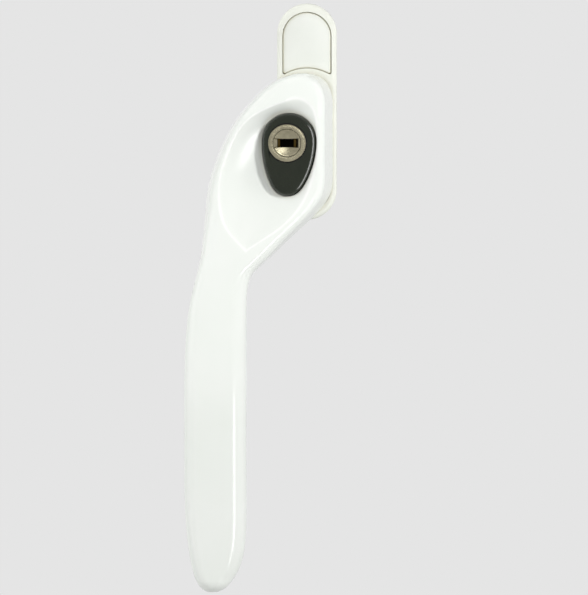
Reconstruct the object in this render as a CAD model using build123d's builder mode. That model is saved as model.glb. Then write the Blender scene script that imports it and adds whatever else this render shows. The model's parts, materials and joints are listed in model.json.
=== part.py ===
from build123d import *
import os
from math import sqrt

os.makedirs("parts", exist_ok=True)

# Frame: X right, Z up, the viewer looks along +Y. The window's face is the plane Y = 0, the spindle's
# axis is the Y axis, and every height below is measured from the window towards the viewer.

# Base plate
screw_pitch = 43.0
base_width = 16.4
base_height = 7.5
base_edge_round = 1.3
back_recess_radius = 7.4
back_recess_depth = 1.7

# Screw covers
cover_margin = 1.6
cover_end_margin = 2.5
cover_hub_gap = 1.6
cover_thickness = 1.6
cover_sunk = 0.45
cover_corner = 0.6
cover_edge_cut = 0.35
cover_ledge = 1.1
cover_clearance = 0.15
pocket_floor_height = 2.2

# Fixing screws
screw_radius = 2.5
screw_head_radius = 4.4
screw_reach = 28.0
screw_hole_clearance = 0.15
drive_slot_length = 4.6
drive_slot_width = 0.9
drive_slot_depth = 1.6

# Spindle, neck and what keeps the neck in the base
spindle_width = 7.0
spindle_corner = 0.8
spindle_reach = 32.0
socket_web = 2.2
socket_clearance = 0.05
socket_end_room = 0.2
neck_radius = 5.8
neck_end_height = 0.2
neck_root = 0.5
bush_wall = 1.05
shaft_clearance = 0.05
ring_groove_depth = 0.6
ring_thickness = 0.7
ring_height = 0.35
ring_room = 0.7
ring_gap = 3.0
washer_thickness = 0.35
washer_cone = 0.2
washer_room = 0.3

# Lever: the outline's ends, the crank with where each change begins and ends, and the edge rounding
hub_top = 10.4
hub_right = 7.2
hub_gap = 0.5
hub_depth = 17.0
crank_rise = 12.0
crank_start = 10.0
crank_end = 85.0
underside_start = 24.0
underside_end = 72.0
grip_start = 20.0
grip_full = 52.0
grip_thickness = 12.0
grip_left = -33.6
grip_right = -16.6
grip_end = -131.8
left_roll = 3.0
right_roll = 4.4
hub_roll = 2.4
back_roll = 2.4
back_hub_roll = 0.8
end_round = 3.0
flank_draft = 2.6
left_draft_share = 0.4
draft_limit = 0.3
roll_limit = 0.42

# Leaf-shaped hollow round the button
dish_depth = 3.0
dish_left_drop = 0.3
dish_right_drop = 0.1

# Push button
button_lobe = (-4.85, -7.9)
button_lobe_radius = 7.35
button_waist = (-5.0, -13.4)
button_waist_radius = 6.7
button_tip = (-5.4, -18.7)
button_tip_radius = 4.55
button_roof = 2.6
button_wall = 0.9
button_skirt = 6.5
button_edge_round = 1.3
button_clearance = 0.2
button_travel = 3.0
press_room = 0.2

# Lock barrel, on its own axis
lock_axis = (-5.5, -8.8)
barrel_flange_radius = 5.2
barrel_flange_height = 1.5
barrel_proud = 0.3
barrel_body_radius = 4.5
barrel_body_length = 5.2
barrel_neck_radius = 3.9
barrel_neck_tail = 0.6
guide_ledge = 1.2
clip_thickness = 0.8
clip_width = 0.7
clip_groove = 0.6
clip_gap = 3.2
clip_play = 0.1
clip_room = 0.2

# Key plug, wafers, cam and bolt
plug_radius = 3.8
plug_length = 6.0
plug_tail_radius = 2.4
plug_sunk = 0.15
keyway_length = 5.8
keyway_width = 1.9
keyway_depth = 5.4
keyway_mouth_length = 6.6
keyway_mouth_width = 2.3
keyway_mouth_depth = 0.3
wafer_count = 4
wafer_pitch = 1.1
wafer_thickness = 0.5
wafer_width = 5.0
wafer_window = 3.8
wafer_start = 1.0
wafer_clearance = 0.04
cam_thickness = 1.2
cam_reach = 4.3
cam_width = 2.6
cam_room = 0.8
bolt_radius = 1.5
bolt_tip_chamfer = 0.3
bolt_shank_radius = 1.1
bolt_shank_length = 5.2
bolt_lift = 0.4
bolt_hole_clearance = 0.4
bolt_hole_room = 0.9

# Lock plate
plate_thickness = 0.8
plate_radius = 5.0
plate_neck_gap = 0.3
plate_slot_clearance = 0.3

# Return spring
spring_wire = 0.6
spring_wire_sides = 6
spring_turns = 3.5
spring_clearance = 0.25

# Worked-out sizes of the base and the neck
base_length = screw_pitch + base_width
screw_places = ((0, screw_pitch / 2), (0, -screw_pitch / 2))
cover_arc_radius = hub_top + cover_hub_gap
cover_seat = base_height - cover_sunk - cover_thickness
bush_radius = neck_radius + shaft_clearance + bush_wall
ring_inner = neck_radius - ring_groove_depth
ring_outer = back_recess_radius - ring_room
washer_outer = back_recess_radius - washer_room
washer_height = ring_height + ring_thickness
hub_height = base_height + hub_gap
hub_front = hub_height + hub_depth
bush_top = hub_height - shaft_clearance

# Worked-out heights of the lock, from the pressed cam just above the base up to the button's face
cam_height = base_height + cam_room + button_travel
cam_top = cam_height + cam_thickness
plate_height = cam_top - button_travel + press_room
plate_top = plate_height + plate_thickness
barrel_neck_end = plate_top + press_room + button_travel
clip_height = barrel_neck_end + barrel_neck_tail
clip_top = clip_height + clip_thickness
ledge_height = clip_top + clip_play
pocket_floor = ledge_height + guide_ledge
skirt_height = pocket_floor + press_room + button_travel
button_face_height = skirt_height + button_skirt
roof_height = button_face_height - button_roof
flange_top = button_face_height + barrel_proud
flange_seat = flange_top - barrel_flange_height
body_end = flange_seat - barrel_body_length
clip_inner = barrel_neck_radius - clip_groove
clip_outer = barrel_neck_radius + clip_width
clip_cavity = clip_outer + clip_room
plug_top = flange_top - plug_sunk
plug_shoulder = plug_top - plug_length
bolt_end = base_height + bolt_lift
bolt_hole_floor = bolt_end - button_travel - bolt_hole_room
socket_top = pocket_floor - socket_web
spring_mean_radius = barrel_body_radius + spring_clearance + spring_wire / 2
spring_cavity = spring_mean_radius + spring_wire / 2 + spring_clearance
# A quarter turn, clockwise seen from the front, takes the lock's axis to this place
lock_axis_open = (lock_axis[1], -lock_axis[0])


def front_view(height):
    """Plane seen from the front, with x to the right and y up, at a height above the window."""
    return Plane.XZ.offset(height)


def front_at(place, height):
    """Front plane whose own origin stands at a place on it."""
    return Plane(origin=(place[0], -height, place[1]), x_dir=(1, 0, 0), z_dir=(0, -1, 0))


def end_view(height, end):
    """Front plane for one end of the base: end is 1 for the upper one, and -1 turns it to the lower."""
    return Plane(origin=(0, -height, 0), x_dir=(end, 0, 0), z_dir=(0, -1, 0))


def ease(value, start, end):
    """Smooth step from 0 at start to 1 at end."""
    part_way = min(1.0, max(0.0, (value - start) / (end - start)))
    return part_way * part_way * (3 - 2 * part_way)


def cover_outline(grow):
    """Half obround with a hollow lower side that follows the hub, grown by an even margin."""
    with BuildSketch() as outline:
        SlotOverall(base_length - 2 * cover_end_margin + 2 * grow,
                    base_width - 2 * cover_margin + 2 * grow, 90)
        with Locations((0, -base_length / 2)):
            Rectangle(base_width, base_length, mode=Mode.SUBTRACT)
        Circle(cover_arc_radius - grow, mode=Mode.SUBTRACT)
        fillet(outline.vertices().sort_by(Axis.Y)[:2], cover_corner)
    return outline.sketch


def button_outline(grow):
    """Egg shape: the hull of a large lobe, a waist and a smaller tip, grown by an even margin."""
    with BuildSketch() as outline:
        with Locations(button_lobe):
            Circle(button_lobe_radius + grow)
        with Locations(button_waist):
            Circle(button_waist_radius + grow)
        with Locations(button_tip):
            Circle(button_tip_radius + grow)
        make_hull()
    return outline.sketch


def plate_outline():
    """Round plate on the lock's axis, cut hollow where the lever's neck is near."""
    with BuildSketch() as outline:
        with Locations(lock_axis):
            Circle(plate_radius)
        Circle(neck_radius + plate_neck_gap, mode=Mode.SUBTRACT)
    return outline.sketch


cover_face = cover_outline(0)
cover_opening = cover_outline(cover_clearance)
cover_well = cover_outline(-cover_ledge)
button_face = button_outline(0)
button_opening = button_outline(button_clearance)
button_hollow = button_outline(-button_wall)
plate_face = plate_outline()

# Base plate: an obround casting with a well at each end for a screw and its cover
with BuildPart() as base_plate:
    with BuildSketch(front_view(0)):
        SlotOverall(base_length, base_width, 90)
    extrude(amount=base_height)
    fillet(base_plate.faces().sort_by(Axis.Y)[0].edges(), base_edge_round)
    for end in (1, -1):
        with BuildSketch(end_view(cover_seat, end)):
            add(cover_opening)
        extrude(amount=base_height, mode=Mode.SUBTRACT)
        with BuildSketch(end_view(pocket_floor_height, end)):
            add(cover_well)
        extrude(amount=base_height, mode=Mode.SUBTRACT)
    with BuildSketch(front_view(0)):
        Circle(bush_radius)
    extrude(amount=base_height, mode=Mode.SUBTRACT)
    with BuildSketch(front_view(0)):
        Circle(back_recess_radius)
    extrude(amount=back_recess_depth, mode=Mode.SUBTRACT)
    for place in screw_places:
        with Locations(front_at(place, 0)):
            Cone(screw_radius + screw_hole_clearance, screw_head_radius + screw_hole_clearance,
                 pocket_floor_height, align=(Align.CENTER, Align.CENTER, Align.MIN), mode=Mode.SUBTRACT)
    with BuildSketch(front_view(bolt_hole_floor)):
        with Locations(lock_axis, lock_axis_open):
            Circle(bolt_radius + bolt_hole_clearance)
    extrude(amount=base_height, mode=Mode.SUBTRACT)
base_plate.part.label = "base_plate"
export_step(base_plate.part, "parts/base_plate.step")

# Screw covers: two clipped panels, set a little below the rim
for name, end in (("screw_cover_upper", 1), ("screw_cover_lower", -1)):
    with BuildPart() as screw_cover:
        with BuildSketch(end_view(cover_seat, end)):
            add(cover_face)
        extrude(amount=cover_thickness)
        chamfer(screw_cover.faces().sort_by(Axis.Y)[0].edges(), cover_edge_cut)
    screw_cover.part.label = name
    export_step(screw_cover.part, "parts/" + name + ".step")

# Fixing screws: countersunk, standing out of the back of the base
with BuildPart() as fixing_screws:
    for place in screw_places:
        with Locations(front_at(place, 0)):
            Cone(screw_radius, screw_head_radius, pocket_floor_height,
                 align=(Align.CENTER, Align.CENTER, Align.MIN))
        with Locations(front_at(place, -screw_reach)):
            Cylinder(screw_radius, screw_reach, align=(Align.CENTER, Align.CENTER, Align.MIN))
    with BuildSketch(front_view(pocket_floor_height - drive_slot_depth)):
        with Locations(*screw_places):
            Rectangle(drive_slot_length, drive_slot_width)
            Rectangle(drive_slot_width, drive_slot_length)
    extrude(amount=drive_slot_depth, mode=Mode.SUBTRACT)
fixing_screws.part.label = "fixing_screws"
export_step(fixing_screws.part, "parts/fixing_screws.step")

# Bush in the base, which the lever's neck turns in and its hub rests on
with BuildPart() as spindle_bush:
    with BuildSketch(front_view(back_recess_depth)):
        Circle(bush_radius)
        Circle(neck_radius + shaft_clearance, mode=Mode.SUBTRACT)
    extrude(amount=bush_top - back_recess_depth)
spindle_bush.part.label = "spindle_bush"
export_step(spindle_bush.part, "parts/spindle_bush.step")

# Lever: stations down its length, each with the left and right edge of the front outline
lever_stations = (
    (hub_top - 0.1, -3.6, 1.6),
    (hub_top - 0.9, -6.4, 3.6),
    (hub_top - 2.2, -9.2, 5.2),
    (hub_top - 4.1, -11.9, 6.4),
    (3.0, -15.2, hub_right),
    (-1.4, -18.9, hub_right),
    (-7.4, -22.4, hub_right),
    (-13.4, -25.0, hub_right),
    (-18.4, -26.6, hub_right),
    (-22.4, -27.4, 6.6),
    (-26.0, -27.8, 4.5),
    (-30.4, -28.2, 0.3),
    (-36.7, -28.8, -6.5),
    (-41.4, -29.5, -11.5),
    (-44.9, -30.3, -14.9),
    (-48.5, -31.2, -16.2),
    (-54.5, -32.4, grip_right),
    (-64.0, -33.3, grip_right),
    (-78.0, grip_left, grip_right),
    (-98.0, grip_left, grip_right),
    (grip_end + 19.0, -33.2, grip_right),
    (grip_end + 11.0, -32.3, -17.2),
    (grip_end + 5.6, -31.2, -18.9),
    (grip_end + 2.6, -30.0, -20.9),
    (grip_end + 0.9, -28.6, -22.8),
    (grip_end + 0.1, -27.2, -24.6),
)


def end_drop(z):
    """How far a quarter-round end falls back from the face, near the top of the hub and the grip's end."""
    into = max(0.0, end_round - min(hub_top - z, z - grip_end))
    return end_round - sqrt(end_round ** 2 - into ** 2)


def lever_front(z):
    """Height of the front face: level on the hub, then cranked up to the grip."""
    return hub_front + crank_rise * ease(-z, crank_start, crank_end)


def lever_back(z):
    """Height of the underside: level under the hub, then rising to the back of the grip."""
    rise = hub_front + crank_rise - grip_thickness - hub_height
    return hub_height + rise * ease(-z, underside_start, underside_end)


def lever_section(z, left, right):
    """Cross-section of the lever: a drafted block with its own rounding on each front edge."""
    grip_share = ease(-z, grip_start, grip_full)
    front = lever_front(z) - end_drop(z)
    back = lever_back(z) + end_drop(z) * grip_share
    draft = flank_draft * (1 - grip_share)
    front_left = left + left_draft_share * draft
    front_right = right - min(draft, draft_limit * (right - left))
    largest_roll = roll_limit * (front_right - front_left)
    with BuildSketch(Plane.XY.offset(z)) as section:
        with BuildLine():
            Polyline((left, -back), (right, -back), (front_right, -front), (front_left, -front), close=True)
        make_face()
        corners = section.vertices().sort_by(Axis.Y)
        front_pair = corners[:2].sort_by(Axis.X)
        fillet(front_pair[0], min(left_roll, largest_roll))
        fillet(front_pair[1], min(hub_roll + (right_roll - hub_roll) * grip_share, largest_roll))
        fillet(corners[2:], min(back_hub_roll + (back_roll - back_hub_roll) * grip_share, largest_roll))
    return section.sketch


lever_sections = [lever_section(*station) for station in lever_stations]

# Stations of the hollow: its left and right ridge, and its depth as a share of the deepest
dish_stations = (
    (2.9, -5.5, -0.6, 0.10),
    (1.2, -9.8, 1.2, 0.40),
    (-2.0, -15.4, 2.3, 0.82),
    (-7.0, -20.1, 2.7, 1.02),
    (-13.4, -22.8, 2.2, 1.06),
    (-20.8, -23.8, 0.5, 1.02),
    (-27.0, -23.3, -2.6, 0.86),
    (-31.8, -21.9, -7.2, 0.62),
    (-35.6, -19.2, -12.6, 0.29),
    (-37.9, -17.2, -16.1, 0.06),
)


def dish_section(z, left, right, share):
    """Cross-section of the cutter that scoops the hollow: one shallow arc from ridge to ridge."""
    front = lever_front(z)
    left_height = front - dish_left_drop * share
    right_height = front - dish_right_drop * share
    above = front + hub_depth
    with BuildSketch(Plane.XY.offset(z)) as section:
        with BuildLine():
            ThreePointArc((left, -left_height), ((left + right) / 2, -front + dish_depth * share),
                          (right, -right_height))
            Polyline((right, -right_height), (right, -above), (left, -above), (left, -left_height))
        make_face()
    return section.sketch


dish_sections = [dish_section(*station) for station in dish_stations]

with BuildPart() as dish_cutter:
    for section in dish_sections:
        add(section)
    loft()

with BuildPart() as lever:
    for section in lever_sections:
        add(section)
    loft()
    # Neck under the hub, with the retaining ring's groove
    with BuildSketch(front_view(neck_end_height)):
        Circle(neck_radius)
    extrude(amount=hub_height - neck_end_height + neck_root)
    with BuildSketch(front_view(ring_height)):
        Circle(neck_radius)
        Circle(ring_inner, mode=Mode.SUBTRACT)
    extrude(amount=ring_thickness, mode=Mode.SUBTRACT)
    # Hollow and pocket for the button
    add(dish_cutter.part, mode=Mode.SUBTRACT)
    with BuildSketch(front_view(pocket_floor)):
        add(button_opening)
    extrude(amount=hub_depth, mode=Mode.SUBTRACT)
    # Bores for the lock, and the spindle's socket
    with BuildSketch(front_view(ledge_height)):
        with Locations(lock_axis):
            Circle(barrel_neck_radius + shaft_clearance)
    extrude(amount=guide_ledge, mode=Mode.SUBTRACT)
    with BuildSketch(front_view(plate_top)):
        with Locations(lock_axis):
            Circle(clip_cavity)
    extrude(amount=ledge_height - plate_top, mode=Mode.SUBTRACT)
    with BuildSketch(front_view(base_height)):
        add(plate_face)
    extrude(amount=plate_top - base_height, mode=Mode.SUBTRACT)
    with BuildSketch(front_view(neck_end_height)):
        Rectangle(spindle_width + 2 * socket_clearance, spindle_width + 2 * socket_clearance)
    extrude(amount=socket_top - neck_end_height, mode=Mode.SUBTRACT)
lever.part.label = "lever"
export_step(lever.part, "parts/lever.step")

# Spindle: square bar fixed in the lever, which turns the window's gear
with BuildPart() as spindle:
    with BuildSketch(front_view(-spindle_reach)) as square:
        Rectangle(spindle_width, spindle_width)
        chamfer(square.vertices(), spindle_corner)
    extrude(amount=spindle_reach + socket_top - socket_end_room)
    chamfer(spindle.faces().sort_by(Axis.Y)[-1].edges(), spindle_corner)
spindle.part.label = "spindle"
export_step(spindle.part, "parts/spindle.step")

# Retaining ring in the neck's groove, behind the base
with BuildPart() as retaining_ring:
    with BuildSketch(front_view(ring_height)):
        Circle(ring_outer)
        Circle(ring_inner, mode=Mode.SUBTRACT)
        with Locations((0, -ring_outer)):
            Rectangle(ring_gap, 2 * ring_outer, mode=Mode.SUBTRACT)
    extrude(amount=ring_thickness)
retaining_ring.part.label = "retaining_ring"
export_step(retaining_ring.part, "parts/retaining_ring.step")

# Spring washer: a shallow cone between the retaining ring and the base
with BuildPart() as spring_washer:
    with BuildSketch(Plane.XY):
        with BuildLine():
            washer_inner = neck_radius + shaft_clearance
            Polyline((washer_inner, -washer_height), (washer_outer, -washer_height - washer_cone),
                     (washer_outer, -washer_height - washer_cone - washer_thickness),
                     (washer_inner, -washer_height - washer_thickness), close=True)
        make_face()
    revolve(axis=Axis.Y)
spring_washer.part.label = "spring_washer"
export_step(spring_washer.part, "parts/spring_washer.step")

# Push button: an egg-shaped cap with a round well for the spring and a seat for the barrel's flange
with BuildPart() as push_button:
    with BuildSketch(front_view(skirt_height)):
        add(button_face)
    extrude(amount=button_skirt)
    fillet(push_button.faces().sort_by(Axis.Y)[0].edges(), button_edge_round)
    with BuildSketch(front_view(skirt_height)):
        add(button_hollow)
        with Locations(lock_axis):
            Circle(spring_cavity)
    extrude(amount=roof_height - skirt_height, mode=Mode.SUBTRACT)
    with BuildSketch(front_view(roof_height)):
        with Locations(lock_axis):
            Circle(barrel_body_radius)
    extrude(amount=button_roof, mode=Mode.SUBTRACT)
    with BuildSketch(front_view(flange_seat)):
        with Locations(lock_axis):
            Circle(barrel_flange_radius)
    extrude(amount=button_roof, mode=Mode.SUBTRACT)
push_button.part.label = "push_button"
export_step(push_button.part, "parts/push_button.step")

# Lock barrel: flange, body and guide neck in one turning, bored for the plug
with BuildPart() as lock_barrel:
    with BuildSketch(front_view(flange_seat)):
        with Locations(lock_axis):
            Circle(barrel_flange_radius)
    extrude(amount=barrel_flange_height)
    chamfer(lock_barrel.faces().sort_by(Axis.Y)[0].edges(), barrel_proud)
    with BuildSketch(front_view(body_end)):
        with Locations(lock_axis):
            Circle(barrel_body_radius)
    extrude(amount=flange_seat - body_end)
    with BuildSketch(front_view(barrel_neck_end)):
        with Locations(lock_axis):
            Circle(barrel_neck_radius)
    extrude(amount=body_end - barrel_neck_end)
    with BuildSketch(front_view(plug_shoulder)):
        with Locations(lock_axis):
            Circle(plug_radius + shaft_clearance)
    extrude(amount=flange_top - plug_shoulder, mode=Mode.SUBTRACT)
    with BuildSketch(front_view(barrel_neck_end)):
        with Locations(lock_axis):
            Circle(plug_tail_radius + shaft_clearance)
    extrude(amount=plug_shoulder - barrel_neck_end, mode=Mode.SUBTRACT)
    with BuildSketch(front_view(clip_height)):
        with Locations(lock_axis):
            Circle(barrel_neck_radius)
            Circle(clip_inner, mode=Mode.SUBTRACT)
    extrude(amount=clip_thickness, mode=Mode.SUBTRACT)
lock_barrel.part.label = "lock_barrel"
export_step(lock_barrel.part, "parts/lock_barrel.step")

# Barrel clip: open ring in the groove, which stops the barrel under the guide ledge
with BuildPart() as barrel_clip:
    with BuildSketch(front_view(clip_height)):
        with Locations(lock_axis):
            Circle(clip_outer)
            Circle(clip_inner, mode=Mode.SUBTRACT)
        with Locations((lock_axis[0], lock_axis[1] - clip_outer)):
            Rectangle(clip_gap, 2 * clip_outer, mode=Mode.SUBTRACT)
    extrude(amount=clip_thickness)
barrel_clip.part.label = "barrel_clip"
export_step(barrel_clip.part, "parts/barrel_clip.step")

# Return spring: one coil from the pocket's floor to the button's roof, its wire six-sided to keep facets few
spring_low = pocket_floor + spring_wire / 2
spring_high = roof_height - spring_wire / 2
with BuildPart() as return_spring:
    with BuildLine():
        coil = Helix(pitch=(spring_high - spring_low) / spring_turns, height=spring_high - spring_low,
                     radius=spring_mean_radius, center=(lock_axis[0], -spring_low, lock_axis[1]),
                     direction=(0, -1, 0))
    with BuildSketch(Plane(origin=coil @ 0, z_dir=coil % 0)):
        RegularPolygon(spring_wire / 2, spring_wire_sides)
    sweep(is_frenet=True)
return_spring.part.label = "return_spring"
export_step(return_spring.part, "parts/return_spring.step")

# Key plug: turns in the barrel, with a flat keyway and a slot for each wafer
wafer_heights = [plug_top - wafer_start - wafer_thickness - wafer_pitch * n for n in range(wafer_count)]
with BuildPart() as key_plug:
    with BuildSketch(front_view(plug_shoulder)):
        with Locations(lock_axis):
            Circle(plug_radius)
    extrude(amount=plug_length)
    with BuildSketch(front_view(cam_top)):
        with Locations(lock_axis):
            Circle(plug_tail_radius)
    extrude(amount=plug_shoulder - cam_top)
    with BuildSketch(front_view(plug_top - keyway_depth)):
        with Locations(lock_axis):
            Rectangle(keyway_length, keyway_width)
    extrude(amount=keyway_depth, mode=Mode.SUBTRACT)
    with BuildSketch(front_view(plug_top - keyway_mouth_depth)):
        with Locations(lock_axis):
            RectangleRounded(keyway_mouth_length, keyway_mouth_width, keyway_mouth_width / 3)
    extrude(amount=keyway_mouth_depth, mode=Mode.SUBTRACT)
    for height in wafer_heights:
        with BuildSketch(front_view(height - wafer_clearance)):
            with Locations(lock_axis):
                Rectangle(wafer_width + 2 * wafer_clearance, 2 * plug_radius)
        extrude(amount=wafer_thickness + 2 * wafer_clearance, mode=Mode.SUBTRACT)
    with BuildSketch(front_view(cam_top)):
        with Locations(lock_axis):
            Circle(bolt_shank_radius)
    extrude(amount=bolt_shank_length - cam_thickness, mode=Mode.SUBTRACT)
key_plug.part.label = "key_plug"
export_step(key_plug.part, "parts/key_plug.step")

# Wafers, drawn level with the plug as a key holds them
with BuildPart() as wafers:
    for height in wafer_heights:
        with BuildSketch(front_view(height)):
            with Locations(lock_axis):
                Circle(plug_radius)
                Rectangle(wafer_width, 2 * plug_radius, mode=Mode.INTERSECT)
                Rectangle(wafer_window, keyway_width, mode=Mode.SUBTRACT)
        extrude(amount=wafer_thickness)
wafers.part.label = "wafers"
export_step(wafers.part, "parts/wafers.step")

# Key cam on the plug's tail, whose arm passes the plate's slot or catches behind it
with BuildPart() as key_cam:
    with BuildSketch(front_view(cam_height)):
        with Locations(lock_axis):
            Circle(plug_tail_radius)
            with Locations((0, -cam_reach / 2)):
                Rectangle(cam_width, cam_reach)
            Circle(bolt_shank_radius, mode=Mode.SUBTRACT)
    extrude(amount=cam_thickness)
key_cam.part.label = "key_cam"
export_step(key_cam.part, "parts/key_cam.step")

# Locking bolt: clamps the cam to the plug, and its nose drops into the base
with BuildPart() as locking_bolt:
    with BuildSketch(front_view(bolt_end)):
        with Locations(lock_axis):
            Circle(bolt_radius)
    extrude(amount=cam_height - bolt_end)
    chamfer(locking_bolt.faces().sort_by(Axis.Y)[-1].edges(), bolt_tip_chamfer)
    with BuildSketch(front_view(cam_height)):
        with Locations(lock_axis):
            Circle(bolt_shank_radius)
    extrude(amount=bolt_shank_length)
locking_bolt.part.label = "locking_bolt"
export_step(locking_bolt.part, "parts/locking_bolt.step")

# Lock plate: pressed into the lever from below, with a keyhole for the cam
with BuildPart() as lock_plate:
    with BuildSketch(front_view(plate_height)):
        add(plate_face)
        with Locations(lock_axis):
            Circle(plug_tail_radius + plate_slot_clearance, mode=Mode.SUBTRACT)
            with Locations((0, -(cam_reach + plate_slot_clearance) / 2)):
                Rectangle(cam_width + 2 * plate_slot_clearance, cam_reach + plate_slot_clearance,
                          mode=Mode.SUBTRACT)
    extrude(amount=plate_thickness)
lock_plate.part.label = "lock_plate"
export_step(lock_plate.part, "parts/lock_plate.step")
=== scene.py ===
import json
import math

import bmesh
import bpy
import numpy as np
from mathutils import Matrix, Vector


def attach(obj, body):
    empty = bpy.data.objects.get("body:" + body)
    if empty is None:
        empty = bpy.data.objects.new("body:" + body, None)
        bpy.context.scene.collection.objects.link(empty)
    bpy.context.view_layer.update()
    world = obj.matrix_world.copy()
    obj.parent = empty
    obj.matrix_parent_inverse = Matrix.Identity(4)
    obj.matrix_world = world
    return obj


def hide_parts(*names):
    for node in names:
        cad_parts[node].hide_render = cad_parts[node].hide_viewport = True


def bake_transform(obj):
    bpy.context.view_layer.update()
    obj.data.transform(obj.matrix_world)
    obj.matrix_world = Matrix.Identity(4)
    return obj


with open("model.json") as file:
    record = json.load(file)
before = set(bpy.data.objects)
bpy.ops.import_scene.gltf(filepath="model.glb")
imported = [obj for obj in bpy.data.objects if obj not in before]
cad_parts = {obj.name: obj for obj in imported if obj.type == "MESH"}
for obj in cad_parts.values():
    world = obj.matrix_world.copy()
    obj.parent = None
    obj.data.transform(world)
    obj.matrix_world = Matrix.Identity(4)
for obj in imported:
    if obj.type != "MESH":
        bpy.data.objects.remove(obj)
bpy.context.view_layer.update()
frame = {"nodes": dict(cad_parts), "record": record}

MM = 0.001

# Sizes below are in mm: x to the right, z up, and heights from the window towards the viewer

# Photograph: its size and the spindle's place in pixels, its scale, and the height at which the scale holds
PHOTO_WIDTH, PHOTO_HEIGHT = 588, 595
SPINDLE_PIXEL = (307, 111)
PIXELS_PER_MM = 3.65
SCALE_HEIGHT = 25

# Camera: its distance from that height, and how far it sees
CAMERA_DISTANCE = 6500
CAMERA_REACH = 40000

# Points and rows on the surfaces, the angles in degrees past which edges are sharp, and how near points merge
LEVER_ROWS = 400
LEVER_ARC_POINTS, LEVER_RUN_POINTS = (12, 12, 18, 16), (18, 12, 120, 12)
DISH_ROWS = 200
TURNED_POINTS = 96
ROUND_POINTS = 7
BUTTON_POINTS, BUTTON_EDGE_ROWS, BUTTON_FACE_ROWS = 180, 12, 8
PLUG_FACE_ROWS = 12
SPRING_TURN_ROWS, SPRING_POINTS = 40, 12
COVER_END_POINTS, COVER_CORNER_POINTS, COVER_HUB_POINTS, COVER_EDGE_ROWS = 48, 12, 40, 8
SCREW_POINTS, THREAD_TURN_ROWS = 40, 8
SHARP_EDGE, CURVED_SHARP_EDGE, KEYWAY_SHARP_EDGE = 35, 50, 30
WELD = 0.001

# Lever, with the values of its solid
HUB_TOP = 10.4
HUB_RIGHT = 7.2
HUB_HEIGHT = 8.0
HUB_FRONT = 25.0
CRANK_RISE = 12.0
CRANK_START, CRANK_END = 10.0, 85.0
UNDERSIDE_START, UNDERSIDE_END = 24.0, 72.0
GRIP_START, GRIP_FULL = 20.0, 52.0
GRIP_THICKNESS = 12.0
GRIP_LEFT, GRIP_RIGHT = -33.6, -16.6
GRIP_END = -131.8
LEFT_ROLL, RIGHT_ROLL, HUB_ROLL = 3.0, 4.4, 2.4
BACK_ROLL, BACK_HUB_ROLL = 2.4, 0.8
END_ROUND = 3.0
FLANK_DRAFT = 2.6
LEFT_DRAFT_SHARE = 0.4
DRAFT_LIMIT = 0.3
ROLL_LIMIT = 0.42

# Stations down the lever: z, then the left and right edge of its outline
LEVER_STATIONS = np.array((
    (HUB_TOP - 0.1, -3.6, 1.6),
    (HUB_TOP - 0.9, -6.4, 3.6),
    (HUB_TOP - 2.2, -9.2, 5.2),
    (HUB_TOP - 4.1, -11.9, 6.4),
    (3.0, -15.2, HUB_RIGHT),
    (-1.4, -18.9, HUB_RIGHT),
    (-7.4, -22.4, HUB_RIGHT),
    (-13.4, -25.0, HUB_RIGHT),
    (-18.4, -26.6, HUB_RIGHT),
    (-22.4, -27.4, 6.6),
    (-26.0, -27.8, 4.5),
    (-30.4, -28.2, 0.3),
    (-36.7, -28.8, -6.5),
    (-41.4, -29.5, -11.5),
    (-44.9, -30.3, -14.9),
    (-48.5, -31.2, -16.2),
    (-54.5, -32.4, GRIP_RIGHT),
    (-64.0, -33.3, GRIP_RIGHT),
    (-78.0, GRIP_LEFT, GRIP_RIGHT),
    (-98.0, GRIP_LEFT, GRIP_RIGHT),
    (GRIP_END + 19.0, -33.2, GRIP_RIGHT),
    (GRIP_END + 11.0, -32.3, -17.2),
    (GRIP_END + 5.6, -31.2, -18.9),
    (GRIP_END + 2.6, -30.0, -20.9),
    (GRIP_END + 0.9, -28.6, -22.8),
    (GRIP_END + 0.1, -27.2, -24.6),
))

# Leaf-shaped hollow, with stations down it: z, its left and right ridge, and a share of its depth
DISH_DEPTH = 3.0
DISH_LEFT_DROP, DISH_RIGHT_DROP = 0.3, 0.1
DISH_BANK = 0.5
RIDGE_BLEND = 0.4
# Reach of the painted highlight on the ridge crests, as a difference of height from where front and hollow
# meet
CREST_HIGHLIGHT_REACH = 0.2
DISH_STATIONS = np.array((
    (2.9, -5.5, -0.6, 0.10),
    (1.2, -9.8, 1.2, 0.40),
    (-2.0, -15.4, 2.3, 0.82),
    (-7.0, -20.1, 2.7, 1.02),
    (-13.4, -22.8, 2.2, 1.06),
    (-20.8, -23.8, 0.5, 1.02),
    (-27.0, -23.3, -2.6, 0.86),
    (-31.8, -21.9, -7.2, 0.62),
    (-35.6, -19.2, -12.6, 0.29),
    (-37.9, -17.2, -16.1, 0.06),
))

# Button, its pocket in the lever and the lock's bores there
BUTTON_CIRCLES = np.array(((-4.85, -7.9, 7.25), (-5.0, -13.4, 6.4), (-5.4, -18.7, 4.6)))
BUTTON_MIDDLE = (-5.0, -13.0)
BUTTON_SOFTNESS = math.radians(9)
BUTTON_CLEARANCE = 0.2
BUTTON_SKIRT, BUTTON_ROOF, BUTTON_FACE = 19.6, 23.5, 26.1
BUTTON_EDGE = 1.8
BUTTON_WALL = 0.7
BUTTON_FIT = 0.05
BUTTON_SEAT_GAP = 0.3
POCKET_FLOOR = 16.4
LOCK_AXIS = (-5.5, -8.8)
GUIDE_BORE, CLIP_BORE, PLATE_BORE = 3.95, 4.8, 5.0
GUIDE_LEDGE, PLATE_TOP = 15.2, 10.5

# Neck under the hub, with its ring groove and square socket
NECK_RADIUS = 5.8
NECK_ROOT = 8.4
NECK_END = 0.2
RING_GROOVE = 5.2
RING_LOW, RING_HIGH = 0.35, 1.05
SOCKET_HALF = 3.55

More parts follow.
